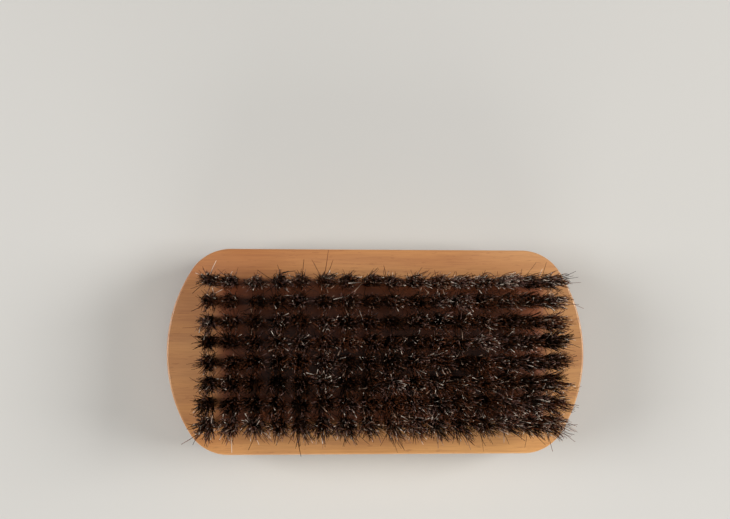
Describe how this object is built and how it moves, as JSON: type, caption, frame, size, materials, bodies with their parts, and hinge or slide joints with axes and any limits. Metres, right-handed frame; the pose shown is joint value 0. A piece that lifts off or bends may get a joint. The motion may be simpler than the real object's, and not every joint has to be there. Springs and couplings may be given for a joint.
{
  "type": "beard brush",
  "caption": "Palm-held oval wooden brush with a domed back, a flat face and a dense grid of bristle tufts set in drilled holes, for grooming beards and hair.",
  "frame": {"origin": "centre of the brush in plan, at the height of the lowest point of the domed back, on which it rests", "axes": "+X along the length of the brush, +Y across it, +Z out of the flat face along the bristles"},
  "size_m": [0.12, 0.0586, 0.0387],
  "materials": {
    "wood": "clear gloss lacquer over fine straight grain",
    "bristle": "satin natural bristle, mixed dark brown, tan and cream hairs",
    "anchor_wire": "drawn bright steel wire"
  },
  "bodies": {
    "root": {"brush_block": "wood", "tufts_row1_cols01_04": "bristle", "tufts_row1_cols05_08": "bristle", "tufts_row1_cols09_12": "bristle", "tufts_row1_cols13_16": "bristle", "tufts_row2_cols01_04": "bristle", "tufts_row2_cols05_08": "bristle", "tufts_row2_cols09_12": "bristle", "tufts_row2_cols13_16": "bristle", "tufts_row3_cols01_04": "bristle", "tufts_row3_cols05_08": "bristle", "tufts_row3_cols09_12": "bristle", "tufts_row3_cols13_16": "bristle", "tufts_row4_cols01_04": "bristle", "tufts_row4_cols05_08": "bristle", "tufts_row4_cols09_12": "bristle", "tufts_row4_cols13_16": "bristle", "tufts_row5_cols01_04": "bristle", "tufts_row5_cols05_08": "bristle", "tufts_row5_cols09_12": "bristle", "tufts_row5_cols13_16": "bristle", "tufts_row6_cols01_04": "bristle", "tufts_row6_cols05_08": "bristle", "tufts_row6_cols09_12": "bristle", "tufts_row6_cols13_16": "bristle", "tufts_row7_cols01_04": "bristle", "tufts_row7_cols05_08": "bristle", "tufts_row7_cols09_12": "bristle", "tufts_row7_cols13_16": "bristle", "tufts_row8_cols01_04": "bristle", "tufts_row8_cols05_08": "bristle", "tufts_row8_cols09_12": "bristle", "tufts_row8_cols13_16": "bristle"}
  },
  "joints": []
}
